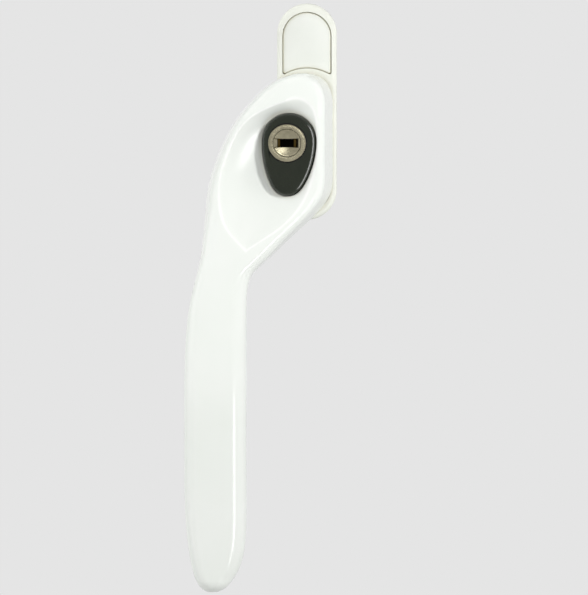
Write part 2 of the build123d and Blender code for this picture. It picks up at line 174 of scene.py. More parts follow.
# Lock barrel and plug, about the lock's axis
FLANGE_RADIUS, FLANGE_SEAT, FLANGE_TOP = 5.2, 24.9, 26.4
FLANGE_LIP = 0.4
PLUG_RADIUS, PLUG_TOP, PLUG_SHOULDER = 3.8, 26.25, 20.25
PLUG_GAP = 0.06
PLUG_LIP = 0.15
PLUG_DISH = 0.34
TAIL_RADIUS, TAIL_END = 2.4, 12.5
BARREL_BODY, BARREL_BODY_END = 4.5, 19.7
BARREL_NECK, BARREL_NECK_END = 3.9, 13.7
CLIP_GROOVE, CLIP_LOW, CLIP_HIGH = 3.3, 14.3, 15.1

# Keyway and its bevelled mouth, widest on the left, and the heights between which the metal is painted black,
# as shade deep in the keyway
KEYWAY = (5.3, 1.9)
KEYWAY_DEPTH = 5.4
KEYWAY_MOUTH = (8.0, 2.7)
KEYWAY_LEAN = -0.75
KEYWAY_BEVEL = 0.4
PLUG_KEYWAY_SHADE, WAFER_KEYWAY_SHADE = (25.5, 25.1), (25.6, 24.4)

# Return spring under the button
SPRING_WIRE, SPRING_RADIUS, SPRING_TURNS = 0.6, 5.05, 3
SPRING_LOW, SPRING_HIGH = 16.75, 23.15

# Screw covers: half obrounds with a hollow side that follows the hub
COVER_PLACES = {"screw_cover_upper": 1, "screw_cover_lower": -1}
COVER_HALF_WIDTH, COVER_END_CENTRE = 6.7, 20.6
COVER_HUB_ARC, COVER_CORNER = 11.9, 0.7
COVER_SEAT, COVER_TOP = 5.45, 7.05
COVER_EDGE = 0.5

# Fixing screws
SCREW_PLACES = {"fixing_screw_upper": 21.5, "fixing_screw_lower": -21.5}
SCREW_RADIUS, SCREW_HEAD, SCREW_HEAD_TOP = 2.5, 4.4, 2.2
SCREW_REACH = 28.0
THREAD_PITCH, THREAD_DEPTH = 0.8, 0.45
THREAD_START, THREAD_FULL = 0.2, 1.2
SCREW_TIP = 0.7
DRIVE_SLOT = (4.6, 0.9)
DRIVE_DEPTH = 1.6

# Colours as 8-bit sRGB, most of them as two tones that noise mixes
LEVER_WHITE = ((239, 243, 237), (242, 245, 240))
BASE_WHITE = ((234, 236, 226), (237, 239, 229))
# Painted highlight white for the lever's ridge crests, and the painted shade that paint and covers go over to
# in corners and gaps
PAINTED_CREST_HIGHLIGHT, PAINT_CREVICE_SHADE = (254, 255, 252), (214, 210, 190)
COVER_WHITE, COVER_CREVICE_SHADE = ((234, 237, 230), (238, 240, 234)), (210, 206, 186)
BUTTON_BLACK = ((20, 26, 14), (28, 34, 21))
NICKEL = ((148, 142, 120), (168, 162, 138))
ZINC = ((170, 172, 173), (182, 183, 183))
# Brass tones darkened below the metal's own colour, as painted shade for wafers that sit deep in the keyway
SHADED_BRASS = ((78, 64, 30), (100, 82, 42))
# Painted shade deep in the keyway
KEYWAY_SHADE_BLACK = (8, 7, 5)
NYLON = ((222, 219, 206), (234, 231, 219))
FLOOR_GREY = ((112, 112, 112), (116, 116, 116))
SKY_GREY = (229, 229, 229)

# Middle range of noise, and how far and by how many rays the painted shade in corners is found
NOISE_LOW, NOISE_HIGH = 0.3, 0.7
CREVICE_REACH, CREVICE_RAYS = 1.5, 8

# Floor: half its width, its z and its glow. Sky: its light's strength. Lamps: the x, y and z they aim at
FLOOR_HALF, FLOOR_Z, FLOOR_GLOW = 1500, -240, 0.64
SKY_LIGHT = 0.31
LAMP_AIM = (-8, -25, -10)


def ease(value, start, end):
    """Smooth step from 0 at start to 1 at end: three times the square less twice the cube of the share."""
    share = np.clip((value - start) / (end - start), 0, 1)
    return share * share * (3 - 2 * share)


def spline(knots, values, places):
    """Natural cubic spline: a cubic between each two knots, alike in slope and bend where two meet."""
    gap = np.diff(knots)
    slope = np.diff(values, axis=0) / gap[:, None]
    system = np.eye(len(knots))
    inner = np.arange(1, len(knots) - 1)
    system[inner, inner - 1] = gap[:-1]
    system[inner, inner] = 2 * (gap[:-1] + gap[1:])
    system[inner, inner + 1] = gap[1:]
    load = np.zeros_like(values)
    load[1:-1] = 6 * np.diff(slope, axis=0)
    bend = np.linalg.solve(system, load)
    first = np.clip(np.searchsorted(knots, places) - 1, 0, len(gap) - 1)
    width = gap[first][:, None]
    before = (knots[first + 1] - places)[:, None]
    after = (places - knots[first])[:, None]
    return ((bend[first] * before ** 3 + bend[first + 1] * after ** 3) / (6 * width)
            + (values[first] / width - bend[first] * width / 6) * before
            + (values[first + 1] / width - bend[first + 1] * width / 6) * after)


def down_stations(stations, count):
    """Rows between stations: a spline through them by the mean chord length of their left and right edges."""
    z, left, right = stations[:, 0], stations[:, 1], stations[:, 2]
    chord = (np.hypot(np.diff(z), np.diff(left)) + np.hypot(np.diff(z), np.diff(right))) / 2
    along = np.concatenate(([0], np.cumsum(chord)))
    return spline(along, stations, np.linspace(0, along[-1], count))


def smooth_least(first, second, blend):
    """Lower of two heights, with the crossing rounded by a parabola where they differ by less than blend."""
    near = np.maximum(blend - np.abs(first - second), 0)
    return np.minimum(first, second) - near ** 2 / (4 * blend)


def rounded_outlines(corners, radii, arc_counts, run_counts):
    """One closed outline for each row of four corners, with a round on each corner.

    A round touches both sides at radius over the tangent of half the corner's angle, and its points turn by
    equal angles about its centre. Straight runs join the rounds.
    """
    points = []
    ends = []
    for k in range(4):
        corner = corners[:, k]
        to_last = corners[:, k - 1] - corner
        to_next = corners[:, (k + 1) % 4] - corner
        to_last = to_last / np.linalg.norm(to_last, axis=1, keepdims=True)
        to_next = to_next / np.linalg.norm(to_next, axis=1, keepdims=True)
        angle = np.arccos(np.sum(to_last * to_next, axis=1))[:, None]
        radius = radii[:, k][:, None]
        reach = radius / np.tan(angle / 2)
        middle = to_last + to_next
        centre = corner + middle / np.linalg.norm(middle, axis=1, keepdims=True) * radius / np.sin(angle / 2)
        start = corner + to_last * reach - centre
        end = corner + to_next * reach - centre
        turn = math.pi - angle
        share = np.linspace(0, 1, arc_counts[k])
        from_start = np.sin(turn * (1 - share))[..., None] * start[:, None]
        from_end = np.sin(turn * share)[..., None] * end[:, None]
        points.append(centre[:, None] + (from_start + from_end) / np.sin(turn)[..., None])
        ends.append(points[-1][:, -1])
    outline = []
    for k in range(4):
        share = np.linspace(0, 1, run_counts[k] + 2)[1:-1][None, :, None]
        run = ends[k][:, None] * (1 - share) + points[(k + 1) % 4][:, :1] * share
        outline += [points[k], run]
    return np.concatenate(outline, axis=1)


def grid_faces(rows, columns):
    """Four-sided faces of points numbered row by row; the last column joins the first."""
    row = np.arange(rows - 1)[:, None] * columns
    column = np.arange(columns)[None, :]
    beside = (column + 1) % columns
    corners = (row + column, row + beside, row + columns + beside, row + columns + column)
    return np.stack(corners, axis=-1).reshape(-1, 4)


def closed_piece(name, rings, sharp=SHARP_EDGE, crest_highlight=None):
    """Object whose surface runs through rings of points.

    Flat faces close the ends, unless the last ring is the first. A crest value for each point, the weight of
    a painted highlight, is kept as an attribute for the paint.
    """
    rows, columns = rings.shape[:2]
    faces = grid_faces(rows, columns).tolist()
    if not np.allclose(rings[0], rings[-1]):
        faces += [list(range(columns)), list(range((rows - 1) * columns, rows * columns))]
    mesh = bpy.data.meshes.new(name)
    mesh.from_pydata((rings.reshape(-1, 3) * MM).tolist(), [], faces)
    if crest_highlight is not None:
        mesh.attributes.new("crest_highlight", "FLOAT", "POINT").data.foreach_set("value", crest_highlight.ravel())
    shell = bmesh.new()
    shell.from_mesh(mesh)
    bmesh.ops.remove_doubles(shell, verts=shell.verts, dist=WELD * MM)
    bmesh.ops.recalc_face_normals(shell, faces=shell.faces)
    shell.to_mesh(mesh)
    shell.free()
    smooth(mesh, sharp)
    piece = bpy.data.objects.new(name, mesh)
    bpy.context.scene.collection.objects.link(piece)
    return piece


def smooth(mesh, sharp):
    """Smooth shading, but for edges that turn by more than the sharp angle."""
    mesh.shade_smooth()
    mesh.set_sharp_from_angle(angle=math.radians(sharp))


def cut(piece, *cutters, sharp=SHARP_EDGE):
    """Takes closed cutters out of a piece for good, and deletes them."""
    for cutter in cutters:
        change = piece.modifiers.new("cut", "BOOLEAN")
        change.operation = "DIFFERENCE"
        change.solver = "EXACT"
        change.object = cutter
    shown = piece.evaluated_get(bpy.context.evaluated_depsgraph_get())
    mesh = bpy.data.meshes.new_from_object(shown)
    piece.modifiers.clear()
    piece.data = mesh
    for cutter in cutters:
        bpy.data.objects.remove(cutter)
    smooth(mesh, sharp)


def stacked(steps):
    """Rings from pairs of an outline of (x, z) and the height it lies at."""
    return np.stack([np.column_stack((outline[:, 0], np.full(len(outline), -height), outline[:, 1]))
                     for outline, height in steps])


def prism(name, outline, low, high):
    """Straight block on an outline of (x, z), between two heights."""
    return closed_piece(name, stacked(((outline, low), (outline, high))))


def round_rings(radius, height, angle, centre=(0, 0)):
    """Rings about an axis along y through a centre of (x, z), by their radius and height at each angle."""
    x = centre[0] + radius * np.cos(angle)
    z = centre[1] + radius * np.sin(angle)
    return np.stack((x, -height + 0 * x, z), axis=-1)


def full_turn(points):
    """Angles spread evenly round a full turn."""
    return np.linspace(0, 2 * math.pi, points, endpoint=False)


def turned(name, profile, centre):
    """Profile of (radius, height) turned about an axis along y through a centre of (x, z)."""
    radius, height = np.array(profile).T[..., None]
    return closed_piece(name, round_rings(radius, height, full_turn(TURNED_POINTS), centre))


def rectangle(size, centre):
    """Corners of a rectangle of (width, height) round a centre of (x, z)."""
    corners = np.array(((-1, -1), (1, -1), (1, 1), (-1, 1))) / 2
    return corners * size + centre


def quarter_round(corner, radius, start):
    """Points of (radius, height) on a quarter circle about a corner, from a start angle on, in degrees."""
    angle = np.radians(np.linspace(start, start + 90, ROUND_POINTS))
    return [(corner[0] + radius * c, corner[1] + radius * s) for c, s in zip(np.cos(angle), np.sin(angle))]


def button_outline(grow):
    """Egg outline by its reach in each direction: that of the furthest of three circles, smoothed.

    Each wave of the reach round the turn is weakened by a bell curve of its count. A point lies at the reach
    along its direction, and at the reach's rate of change across it.
    """
    angle = full_turn(BUTTON_POINTS)
    way = np.column_stack((np.cos(angle), np.sin(angle)))
    across = np.column_stack((-np.sin(angle), np.cos(angle)))
    reach = np.max(way @ (BUTTON_CIRCLES[:, :2] - BUTTON_MIDDLE).T + BUTTON_CIRCLES[:, 2], axis=1)
    count = np.arange(BUTTON_POINTS // 2 + 1)
    waves = np.fft.rfft(reach) * np.exp(-(count * BUTTON_SOFTNESS) ** 2 / 2)
    reach = np.fft.irfft(waves, BUTTON_POINTS)
    rate = np.fft.irfft(1j * count * waves, BUTTON_POINTS)
    return BUTTON_MIDDLE + way * (reach + grow)[:, None] + across * rate[:, None]


def lever_front(z):
    """Height of the front face: level on the hub, then cranked up to the grip by a smooth step."""
    return HUB_FRONT + CRANK_RISE * ease(-z, CRANK_START, CRANK_END)


def dish_height(x, z):
    """Height of the hollow: a parabola across from ridge to ridge, and a bank that rises outside them."""
    stations = down_stations(DISH_STATIONS, DISH_ROWS)[::-1]
    left = np.interp(z, stations[:, 0], stations[:, 1])
    right = np.interp(z, stations[:, 0], stations[:, 2])
    share = np.interp(z, stations[:, 0], stations[:, 3])
    across = np.clip((2 * x - left - right) / (right - left), -1, 1)
    tilt = (DISH_RIGHT_DROP - DISH_LEFT_DROP) / 2
    rim = (DISH_RIGHT_DROP + DISH_LEFT_DROP) / 2
    drop = share * (DISH_DEPTH + tilt * across + (rim - DISH_DEPTH) * across ** 2)
    beside = np.maximum(np.maximum(left - x, x - right), 0)
    beyond = np.maximum(np.maximum(z - stations[-1, 0], stations[0, 0] - z), 0)
    return lever_front(z) - drop + DISH_BANK * (beside + beyond)


def lever_body():
    """Lever: drafted, rounded sections at rows down its length, its front pressed down into the hollow.

    The ends fall back by a quarter round. The pocket for the button and the lock's bores are cut out.
    """
    z, left, right = down_stations(LEVER_STATIONS, LEVER_ROWS).T
    grip = ease(-z, GRIP_START, GRIP_FULL)
    into = np.maximum(END_ROUND - np.minimum(HUB_TOP - z, z - GRIP_END), 0)
    fall = END_ROUND - np.sqrt(END_ROUND ** 2 - into ** 2)
    front = lever_front(z) - fall
    rise = HUB_FRONT + CRANK_RISE - GRIP_THICKNESS - HUB_HEIGHT
    back = HUB_HEIGHT + rise * ease(-z, UNDERSIDE_START, UNDERSIDE_END) + fall * grip
    draft = FLANK_DRAFT * (1 - grip)
    front_left = left + LEFT_DRAFT_SHARE * draft
    front_right = right - np.minimum(draft, DRAFT_LIMIT * (right - left))
    largest = ROLL_LIMIT * (front_right - front_left)
    corners = np.stack((
        np.column_stack((left, back)), np.column_stack((right, back)),
        np.column_stack((front_right, front)), np.column_stack((front_left, front))), axis=1)
    back_roll = np.minimum(BACK_HUB_ROLL + (BACK_ROLL - BACK_HUB_ROLL) * grip, largest)
    right_roll = np.minimum(HUB_ROLL + (RIGHT_ROLL - HUB_ROLL) * grip, largest)
    left_roll = np.minimum(LEFT_ROLL, largest)
    radii = np.column_stack((back_roll, back_roll, right_roll, left_roll))
    outline = rounded_outlines(corners, radii, LEVER_ARC_POINTS, LEVER_RUN_POINTS)
    x, height = outline[..., 0], outline[..., 1]
    down = np.broadcast_to(z[:, None], x.shape)
    hollow = dish_height(x, down)
    # Weight of the painted highlight on the ridge crests, where the front meets the hollow
    crest_highlight = np.exp(-((height - hollow) / CREST_HIGHLIGHT_REACH) ** 2)
    height = smooth_least(height, hollow, RIDGE_BLEND)
    lever = closed_piece("lever_body", np.stack((x, -height, down), axis=-1), CURVED_SHARP_EDGE, crest_highlight)
    pocket = prism("pocket", button_outline(BUTTON_CLEARANCE), POCKET_FLOOR, HUB_FRONT + CRANK_RISE)
    bores = turned("bores", (
        (0, NECK_END), (PLATE_BORE, NECK_END), (PLATE_BORE, PLATE_TOP), (CLIP_BORE, PLATE_TOP),
        (CLIP_BORE, GUIDE_LEDGE), (GUIDE_BORE, GUIDE_LEDGE), (GUIDE_BORE, HUB_FRONT), (0, HUB_FRONT),
    ), LOCK_AXIS)
    cut(lever, pocket, bores, sharp=CURVED_SHARP_EDGE)
    return lever


def lever_neck():
    """Neck: a turned shaft with a ring groove, whose end face runs in from the circle to a square socket."""
    angle = full_turn(TURNED_POINTS)
    square = SOCKET_HALF / np.maximum(np.abs(np.cos(angle)), np.abs(np.sin(angle)))
    shaft = (
        (NECK_RADIUS, NECK_ROOT), (NECK_RADIUS, RING_HIGH), (RING_GROOVE, RING_HIGH),
        (RING_GROOVE, RING_LOW), (NECK_RADIUS, RING_LOW), (NECK_RADIUS, NECK_END))
    radius = np.array([0 * angle + r for r, _ in shaft] + [square, square])
    height = np.array([h for _, h in shaft] + [NECK_END, NECK_ROOT])[:, None]
    return closed_piece("lever_neck", round_rings(radius, height, angle))


def button_cap():
    """Button: its egg outline up a wall and over a quarter round, then a face that runs in to the lock.

    The surface goes down the lock's seat and bore, and back along the roof's underside and the wall's inside.
    """
    angle = full_turn(BUTTON_POINTS)
    circle = np.column_stack((np.cos(angle), np.sin(angle)))
    turn = np.radians(np.linspace(0, 90, BUTTON_EDGE_ROWS))
    edge = zip(BUTTON_EDGE * (np.cos(turn) - 1), BUTTON_FACE - BUTTON_EDGE * (1 - np.sin(turn)))
    seat = LOCK_AXIS + (FLANGE_RADIUS + BUTTON_SEAT_GAP) * circle
    bore = LOCK_AXIS + (BARREL_BODY + BUTTON_FIT) * circle
    face = button_outline(-BUTTON_EDGE)
    inside = button_outline(-BUTTON_WALL)
    inwards = np.linspace(0, 1, BUTTON_FACE_ROWS)[1:]
    steps = [(button_outline(0), BUTTON_SKIRT)]
    steps += [(button_outline(grow), height) for grow, height in edge]
    steps += [(face + share * (seat - face), BUTTON_FACE) for share in inwards]
    steps += [(seat, FLANGE_SEAT), (bore, FLANGE_SEAT), (bore, BUTTON_ROOF)]
    steps += [(inside, BUTTON_ROOF), (inside, BUTTON_SKIRT), steps[0]]
    return closed_piece("button_cap", stacked(steps))


def lock_barrel():
    """Barrel: a closed profile turned about the lock's axis, with a rounded lip on its flange and bore."""
    bore = PLUG_RADIUS + PLUG_GAP
    shoulder = PLUG_SHOULDER - PLUG_GAP
    profile = [
        (FLANGE_RADIUS, FLANGE_SEAT),
        *quarter_round((FLANGE_RADIUS - FLANGE_LIP, FLANGE_TOP - FLANGE_LIP), FLANGE_LIP, 0),
        *quarter_round((bore + PLUG_LIP, FLANGE_TOP - PLUG_LIP), PLUG_LIP, 90),
        (bore, shoulder), (TAIL_RADIUS + PLUG_GAP, shoulder), (TAIL_RADIUS + PLUG_GAP, BARREL_NECK_END),
        (BARREL_NECK, BARREL_NECK_END), (BARREL_NECK, CLIP_LOW), (CLIP_GROOVE, CLIP_LOW),
        (CLIP_GROOVE, CLIP_HIGH), (BARREL_NECK, CLIP_HIGH), (BARREL_NECK, BARREL_BODY_END),
        (BARREL_BODY, BARREL_BODY_END), (BARREL_BODY, FLANGE_SEAT), (FLANGE_RADIUS, FLANGE_SEAT)]
    return turned("barrel_turning", profile, LOCK_AXIS)


def key_plug():
    """Plug: turned, its face hollowed by a parabola, with a straight keyway and a bevelled mouth cut out."""
    share = np.linspace(0, 1, PLUG_FACE_ROWS)
    rim = PLUG_RADIUS - PLUG_LIP
    face = list(zip(rim * share, PLUG_TOP - PLUG_DISH * (1 - share ** 2)))
    profile = [
        *face, *quarter_round((rim, PLUG_TOP - PLUG_LIP), PLUG_LIP, 0)[::-1],
        (PLUG_RADIUS, PLUG_SHOULDER), (TAIL_RADIUS, PLUG_SHOULDER), (TAIL_RADIUS, TAIL_END), (0, TAIL_END)]
    plug = turned("plug_turning", profile, LOCK_AXIS)
    slot = rectangle(KEYWAY, LOCK_AXIS)
    wide = rectangle(KEYWAY_MOUTH, (LOCK_AXIS[0] + KEYWAY_LEAN, LOCK_AXIS[1]))
    middle = PLUG_TOP - PLUG_DISH
    bevel = stacked(((slot, middle - KEYWAY_BEVEL), (wide, middle + KEYWAY_BEVEL)))
    keyway = prism("keyway", slot, PLUG_TOP - KEYWAY_DEPTH, FLANGE_TOP)
    cut(plug, keyway, closed_piece("keyway_mouth", bevel), sharp=KEYWAY_SHARP_EDGE)
    return plug


def spring_coil():
    """Spring: a circle of wire carried round the lock's axis as it climbs evenly, one turn after another."""
    turn = np.linspace(0, 2 * math.pi * SPRING_TURNS, SPRING_TURN_ROWS * SPRING_TURNS + 1)[:, None]
    around = full_turn(SPRING_POINTS)
    climb = np.linspace(SPRING_LOW, SPRING_HIGH, len(turn))[:, None]
    radius = SPRING_RADIUS + SPRING_WIRE / 2 * np.cos(around)
    height = climb + SPRING_WIRE / 2 * np.sin(around)
    return closed_piece("spring_coil", round_rings(radius, height, turn, LOCK_AXIS), CURVED_SHARP_EDGE)


def cover_outline(shrink):
    """Cover's outline, drawn in evenly: an end arc, two sides, two corner rounds and an arc about the hub.

    A corner round's centre keeps its radius from the side and from the hub's arc, so it stays where it is as
    the rest shrinks.
    """
    half = COVER_HALF_WIDTH - shrink
    corner_x = COVER_HALF_WIDTH - COVER_CORNER
    corner_z = math.sqrt((COVER_HUB_ARC + COVER_CORNER) ** 2 - corner_x ** 2)
    slope = math.atan2(corner_z, corner_x)
    end = np.linspace(0, math.pi, COVER_END_POINTS)
    corner = np.linspace(math.pi, 2 * math.pi - slope, COVER_CORNER_POINTS)
    hub = np.linspace(math.pi - slope, slope, COVER_HUB_POINTS)[1:-1]
    radius = COVER_CORNER - shrink
    arc = COVER_HUB_ARC + shrink
    round_x, round_z = corner_x - radius * np.cos(corner), corner_z + radius * np.sin(corner)
    x = np.concatenate((half * np.cos(end), -round_x, arc * np.cos(hub), round_x[::-1]))
    z = np.concatenate((COVER_END_CENTRE + half * np.sin(end), round_z, arc * np.sin(hub), round_z[::-1]))
    return np.column_stack((x, z))


def screw_cover(name, end):
    """Cover: its outline at the seat and up the wall, then drawn in over a quarter round to a flat face."""
    turn = np.radians(np.linspace(0, 90, COVER_EDGE_ROWS))
    edge = zip(COVER_EDGE * (1 - np.cos(turn)), COVER_TOP - COVER_EDGE * (1 - np.sin(turn)))
    steps = [(end * cover_outline(shrink), height) for shrink, height in ((0, COVER_SEAT), *edge)]
    return closed_piece(name, stacked(steps))


def fixing_screw(name, z):
    """Screw: a countersunk head, then rings along the shank whose radius falls to a root once a turn.

    The fall is a triangle wave of the place along the shank over the pitch, less the angle over a full turn.
    It fades in below the head, and the tip is coned.
    """
    angle = full_turn(SCREW_POINTS)
    along = np.linspace(0, SCREW_REACH, int(SCREW_REACH / THREAD_PITCH) * THREAD_TURN_ROWS)[:, None]
    turns = along / THREAD_PITCH - angle / (2 * math.pi)
    groove = THREAD_DEPTH * np.abs(2 * (turns % 1) - 1) * ease(along, THREAD_START, THREAD_FULL)
    cone = np.maximum(along - (SCREW_REACH - SCREW_TIP), 0)
    shank = SCREW_RADIUS - np.maximum(groove, cone)
    radius = np.concatenate((np.full((1, SCREW_POINTS), SCREW_HEAD), shank))
    height = np.concatenate(((SCREW_HEAD_TOP,), -along[:, 0]))[:, None]
    screw = closed_piece(name, round_rings(radius, height, angle, (0, z)))
    slots = [prism("drive_slot", rectangle(size, (0, z)), SCREW_HEAD_TOP - DRIVE_DEPTH, 2 * SCREW_HEAD_TOP)
             for size in (DRIVE_SLOT, DRIVE_SLOT[::-1])]
    cut(screw, *slots)
    return screw


def new_material(name):
    """New node material: returns it with its node tree, its Principled shader and its object coordinates."""
    material = bpy.data.materials.new(name)
    material.use_nodes = True
    tree = material.node_tree
    tree.nodes.clear()
    output = tree.nodes.new("ShaderNodeOutputMaterial")
    shader = tree.nodes.new("ShaderNodeBsdfPrincipled")
    tree.links.new(shader.outputs["BSDF"], output.inputs["Surface"])
    coordinates = tree.nodes.new("ShaderNodeTexCoord")
    return material, tree, shader, coordinates.outputs["Object"]


def noise(tree, place, scale, detail, roughness=0.5):
    """Noise on object coordinates, which are metres, so scale counts features in a metre."""
    node = tree.nodes.new("ShaderNodeTexNoise")
    node.inputs["Scale"].default_value = scale
    node.inputs["Detail"].default_value = detail
    node.inputs["Roughness"].default_value = roughness
    tree.links.new(place, node.inputs["Vector"])
    return node.outputs["Fac"]


def spread(tree, value, low, high):
    """Carries a noise value from its middle range to the range from low to high."""
    node = tree.nodes.new("ShaderNodeMapRange")
    node.inputs["From Min"].default_value = NOISE_LOW
    node.inputs["From Max"].default_value = NOISE_HIGH
    node.inputs["To Min"].default_value = low
    node.inputs["To Max"].default_value = high
    tree.links.new(value, node.inputs["Value"])
    return node.outputs["Result"]


def shade(srgb):
    """Linear colour of an 8-bit sRGB one."""
    part = np.array(srgb) / 255
    return tuple(np.where(part <= 0.04045, part / 12.92, ((part + 0.055) / 1.055) ** 2.4))


def mix(tree, factor, first, second):
    """Colour that goes from first to second as the factor goes from 0 to 1.

    First and second are each a fixed colour or a node's output.
    """
    node = tree.nodes.new("ShaderNodeMix")
    node.data_type = "RGBA"
    tree.links.new(factor, node.inputs["Factor"])
    for side, colour in (("A", first), ("B", second)):
        if isinstance(colour, tuple):
            node.inputs[side].default_value = (*colour, 1)
        else:
            tree.links.new(colour, node.inputs[side])
    return node.outputs["Result"]


def mottled(tree, place, tones, scale, detail, roughness=0.5):
    """Colour that noise carries between two sRGB tones."""
    value = spread(tree, noise(tree, place, scale, detail, roughness), 0, 1)
    return mix(tree, value, shade(tones[0]), shade(tones[1]))


def bump(tree, height, distance, strength):
    """Bump of a height field, with its depth in metres."""
    node = tree.nodes.new("ShaderNodeBump")
    node.inputs["Distance"].default_value = distance
    node.inputs["Strength"].default_value = strength
    tree.links.new(height, node.inputs["Height"])
    return node.outputs["Normal"]


def crevice(tree, unshaded, shade_tone):
    """Painted shade: colour that goes over to a darker, warmer tone in corners and gaps that less of the room
    can reach.
    """
    hidden = tree.nodes.new("ShaderNodeAmbientOcclusion")
    hidden.samples = CREVICE_RAYS
    hidden.inputs["Distance"].default_value = CREVICE_REACH * MM
    return mix(tree, hidden.outputs["AO"], shade(shade_tone), unshaded)


def white_paint(name, tones):
    """Powder paint on a metal casting: faint orange peel and gloss, a painted highlight on crests and painted
    shade in gaps.
    """
    material, tree, shader, place = new_material(name)
    crest_highlight = tree.nodes.new("ShaderNodeAttribute")
    crest_highlight.attribute_name = "crest_highlight"
    # Painted highlight: the paint goes lighter on the ridge crests
    unshaded = mix(tree, crest_highlight.outputs["Fac"], mottled(tree, place, tones, 60, 3), shade(PAINTED_CREST_HIGHLIGHT))
    # Painted shade: darker and warmer in corners and gaps
    tree.links.new(crevice(tree, unshaded, PAINT_CREVICE_SHADE), shader.inputs["Base Color"])
    tree.links.new(spread(tree, noise(tree, place, 900, 2), 0.2, 0.26), shader.inputs["Roughness"])
    tree.links.new(bump(tree, noise(tree, place, 500, 1), 0.01 * MM, 0.25), shader.inputs["Normal"])
    shader.inputs["IOR"].default_value = 1.5
    return material


def white_plastic():
    """Moulded white plastic, a little greyer and duller than the paint, with a fine spark texture and painted
    shade in its gaps.
    """
    material, tree, shader, place = new_material("white_plastic")
    unshaded = mottled(tree, place, COVER_WHITE, 120, 3)
    tree.links.new(crevice(tree, unshaded, COVER_CREVICE_SHADE), shader.inputs["Base Color"])
    tree.links.new(spread(tree, noise(tree, place, 2500, 2), 0.34, 0.44), shader.inputs["Roughness"])
    tree.links.new(bump(tree, noise(tree, place, 5200, 2), 0.004 * MM, 0.3), shader.inputs["Normal"])
    return material


def black_plastic():
    """Glossy black moulding with a slight warm bloom and fine rub marks in its gloss."""
    material, tree, shader, place = new_material("black_plastic")
    tree.links.new(mottled(tree, place, BUTTON_BLACK, 180, 4, 0.6), shader.inputs["Base Color"])
    tree.links.new(spread(tree, noise(tree, place, 1400, 4, 0.6), 0.14, 0.22), shader.inputs["Roughness"])
    tree.links.new(bump(tree, noise(tree, place, 3000, 2), 0.003 * MM, 0.3), shader.inputs["Normal"])
    shader.inputs["Specular IOR Level"].default_value = 0.35
    return material


def turned_metal(name, tones, roughness, centre, keyway_shade=None):
    """Plated turning: rings of tool marks about an axis along y, with small spots in the plate.

    Where two heights are given, the metal is painted black from the first height down to the second, as shade
    deep in the keyway.
    """
    material, tree, shader, place = new_material(name)
    shift = tree.nodes.new("ShaderNodeMapping")
    shift.inputs["Location"].default_value = (-centre[0] * MM, 0, -centre[1] * MM)
    tree.links.new(place, shift.inputs["Vector"])
    rings = tree.nodes.new("ShaderNodeTexWave")
    rings.wave_type = "RINGS"
    rings.rings_direction = "Y"
    rings.inputs["Scale"].default_value = 900
    rings.inputs["Distortion"].default_value = 1.5
    rings.inputs["Detail"].default_value = 2
    tree.links.new(shift.outputs["Vector"], rings.inputs["Vector"])
    colour = mottled(tree, place, tones, 420, 4, 0.65)
    # Painted shade: black below a height in the keyway
    if keyway_shade:
        parts = tree.nodes.new("ShaderNodeSeparateXYZ")
        tree.links.new(place, parts.inputs["Vector"])
        depth = tree.nodes.new("ShaderNodeMapRange")
        depth.inputs["From Min"].default_value = -keyway_shade[0] * MM
        depth.inputs["From Max"].default_value = -keyway_shade[1] * MM
        tree.links.new(parts.outputs["Y"], depth.inputs["Value"])
        colour = mix(tree, depth.outputs["Result"], colour, shade(KEYWAY_SHADE_BLACK))
    tree.links.new(colour, shader.inputs["Base Color"])
    tree.links.new(spread(tree, noise(tree, place, 2200, 3), *roughness), shader.inputs["Roughness"])
    tree.links.new(bump(tree, rings.outputs["Fac"], 0.001 * MM, 0.12), shader.inputs["Normal"])
    shader.inputs["Metallic"].default_value = 1
    return material


def plain_nylon():
    """Natural nylon: off-white, waxy and slightly mottled."""
    material, tree, shader, place = new_material("nylon")
    tree.links.new(mottled(tree, place, NYLON, 300, 3), shader.inputs["Base Color"])
    tree.links.new(spread(tree, noise(tree, place, 2000, 2), 0.4, 0.5), shader.inputs["Roughness"])
    shader.inputs["Subsurface Weight"].default_value = 0.2
    return material


finishes = {
    "white_paint": white_paint("white_paint", LEVER_WHITE),
    "white_plastic": white_plastic(),
    "black_plastic": black_plastic(),
    "nickel": turned_metal("nickel", NICKEL, (0.18, 0.26), LOCK_AXIS, PLUG_KEYWAY_SHADE),
    "zinc_steel": turned_metal("zinc_steel", ZINC, (0.22, 0.34), (0, 0)),
    "brass": turned_metal("brass", SHADED_BRASS, (0.3, 0.45), LOCK_AXIS, WAFER_KEYWAY_SHADE),
    "nylon": plain_nylon(),
}

# Finish of each CAD node, by its slot
for part in frame["record"]["subparts"]:
    mesh = frame["nodes"][part["node"]].data
    mesh.materials.clear()
    mesh.materials.append(finishes[part["material_slot"]])

# The photograph shows the base's paint a little warmer than the lever's
frame["nodes"]["base_plate"].data.materials[0] = white_paint("base_paint", BASE_WHITE)


def dress(piece, body, finish, *nodes):
    """Gives a piece its finish and its body, and sets it in place of CAD nodes."""
    piece.data.materials.clear()
    piece.data.materials.append(finishes[finish])
    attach(piece, body)
    if nodes:
        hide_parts(*nodes)
    return piece


# Pieces in place of CAD nodes
lever = dress(lever_body(), "lever", "white_paint", "lever")
dress(lever_neck(), "lever", "white_paint")
button = dress(button_cap(), "button", "black_plastic", "push_button")
barrel = dress(lock_barrel(), "button", "nickel", "lock_barrel")
plug = dress(key_plug(), "plug", "nickel", "key_plug")
spring = spring_coil()
spring.data.materials.append(finishes["zinc_steel"])
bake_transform(spring)
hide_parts("return_spring")
for node, end in COVER_PLACES.items():
    dress(screw_cover(node + "_panel", end), "base", "white_plastic", node)
for name, z in SCREW_PLACES.items():
    dress(fixing_screw(name, z), "base", "zinc_steel", "fixing_screws")

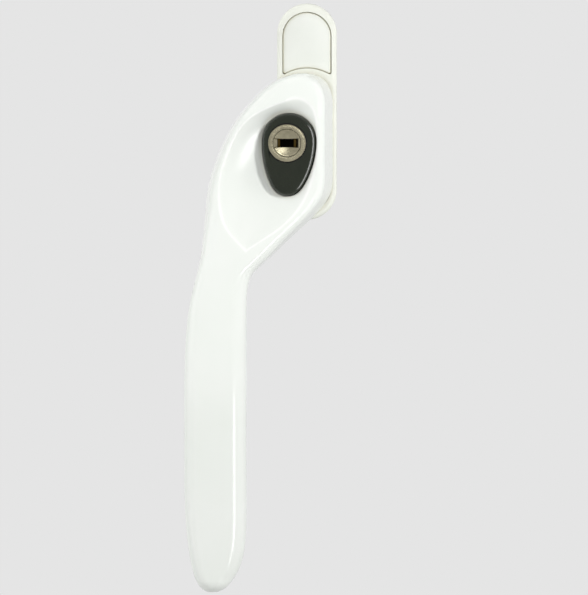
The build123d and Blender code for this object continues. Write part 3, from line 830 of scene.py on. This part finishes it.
# Floor well below the handle, which is held up by its screws
floor_mesh = bpy.data.meshes.new("floor")
floor_corners = [(x * FLOOR_HALF, y * FLOOR_HALF, FLOOR_Z) for x, y in ((-1, -1), (1, -1), (1, 1), (-1, 1))]
floor_mesh.from_pydata((np.array(floor_corners) * MM).tolist(), [], [(0, 1, 2, 3)])
floor = bpy.data.objects.new("floor", floor_mesh)
bpy.context.scene.collection.objects.link(floor)
floor_paint, floor_tree, floor_shader, floor_place = new_material("floor_paper")
floor_tree.links.new(mottled(floor_tree, floor_place, FLOOR_GREY, 4, 2), floor_shader.inputs["Base Color"])
floor_shader.inputs["Roughness"].default_value = 0.9
floor_shader.inputs["Emission Color"].default_value = (1, 1, 1, 1)
floor_shader.inputs["Emission Strength"].default_value = FLOOR_GLOW
floor_mesh.materials.append(floor_paint)
floor.visible_diffuse = False
floor.visible_glossy = False
floor.visible_shadow = False


def background(sky, colour, strength):
    """One of the world's backgrounds."""
    node = sky.nodes.new("ShaderNodeBackground")
    node.inputs["Color"].default_value = (*colour, 1)
    node.inputs["Strength"].default_value = strength
    return node


def chosen(sky, ray, other, picked):
    """Shader that is the picked one for one kind of ray, and the other one for the rest."""
    node = sky.nodes.new("ShaderNodeMixShader")
    sky.links.new(ray, node.inputs["Fac"])
    sky.links.new(other, node.inputs[1])
    sky.links.new(picked, node.inputs[2])
    return node.outputs["Shader"]


# World: a pale grey for the camera and for mirrored and passing rays, and a dimmer white that gives light
world = bpy.data.worlds.new("studio")
bpy.context.scene.world = world
world.use_nodes = True
sky = world.node_tree
sky.nodes.clear()
sky_output = sky.nodes.new("ShaderNodeOutputWorld")
paths = sky.nodes.new("ShaderNodeLightPath")
seen = background(sky, shade(SKY_GREY), 1)
lit = background(sky, (1, 1, 1), SKY_LIGHT)
surface = lit.outputs["Background"]
for ray in ("Is Transmission Ray", "Is Glossy Ray", "Is Camera Ray"):
    surface = chosen(sky, paths.outputs[ray], surface, seen.outputs["Background"])
sky.links.new(surface, sky_output.inputs["Surface"])


def area_lamp(name, azimuth, elevation, distance, width, height, watts, glint_on=()):
    """Area lamp aimed at the hub, with its distance and size in metres.

    Azimuth turns from the viewer to the right and elevation rises from level, both in degrees. A soft lamp
    lights all surfaces and isn't mirrored in them. A glint is only mirrored, and only in some pieces.
    """
    lamp = bpy.data.lights.new(name, "AREA")
    lamp.shape = "RECTANGLE"
    lamp.size, lamp.size_y = width, height
    lamp.energy = watts
    side, rise = math.radians(azimuth), math.radians(elevation)
    way = Vector((math.sin(side) * math.cos(rise), -math.cos(side) * math.cos(rise), math.sin(rise)))
    lamp_object = bpy.data.objects.new(name, lamp)
    lamp_object.location = Vector(LAMP_AIM) * MM + way * distance
    lamp_object.rotation_euler = (-way).to_track_quat("-Z", "Y").to_euler()
    lamp_object.visible_glossy = bool(glint_on)
    lamp_object.visible_diffuse = not glint_on
    if glint_on:
        mirrors = bpy.data.collections.new(name + "_mirrors")
        for piece in glint_on:
            mirrors.objects.link(piece)
        lamp_object.light_linking.receiver_collection = mirrors
    bpy.context.scene.collection.objects.link(lamp_object)


# Lamps: the soft ones, then the glints
area_lamp("key_lamp", 38, 22, 0.42, 0.05, 0.05, 0.92)
area_lamp("left_fill", -50, 16, 0.6, 0.4, 0.4, 0.5)
area_lamp("low_fill", 14, -56, 1.2, 0.8, 0.8, 3.9)
area_lamp("left_soft_box", -80, 20, 0.7, 0.6, 0.8, 3.3)
area_lamp("right_soft_box", 74, 2, 0.5, 0.2, 0.4, 0.6)
area_lamp("top_soft_box", 0, 89, 1.5, 1.6, 1.6, 1.0)
area_lamp("back_fill", 180, 5, 0.9, 0.8, 0.8, 3.0)
area_lamp("front_glint", 27, -10, 0.5, 0.06, 0.18, 0.5, glint_on=(lever,))
area_lamp("right_glint", 74, -4, 0.5, 0.18, 0.8, 5.5, glint_on=(button,))
area_lamp("lock_glint", 9, 11, 0.5, 0.1, 0.06, 0.12, glint_on=(barrel, plug))

# Camera: level, straight in front, framed on the photograph's middle
frame_height = PHOTO_HEIGHT / PIXELS_PER_MM
camera = bpy.data.cameras.new("camera")
camera.lens = camera.sensor_width * CAMERA_DISTANCE / frame_height
camera.clip_end = CAMERA_REACH * MM
camera_object = bpy.data.objects.new("camera", camera)
camera_object.location = (
    (PHOTO_WIDTH / 2 - SPINDLE_PIXEL[0]) / PIXELS_PER_MM * MM,
    -(SCALE_HEIGHT + CAMERA_DISTANCE) * MM,
    (SPINDLE_PIXEL[1] - PHOTO_HEIGHT / 2) / PIXELS_PER_MM * MM,
)
camera_object.rotation_euler = (math.pi / 2, 0, 0)
bpy.context.scene.collection.objects.link(camera_object)
bpy.context.scene.camera = camera_object
bpy.context.scene.view_settings.view_transform = "Standard"
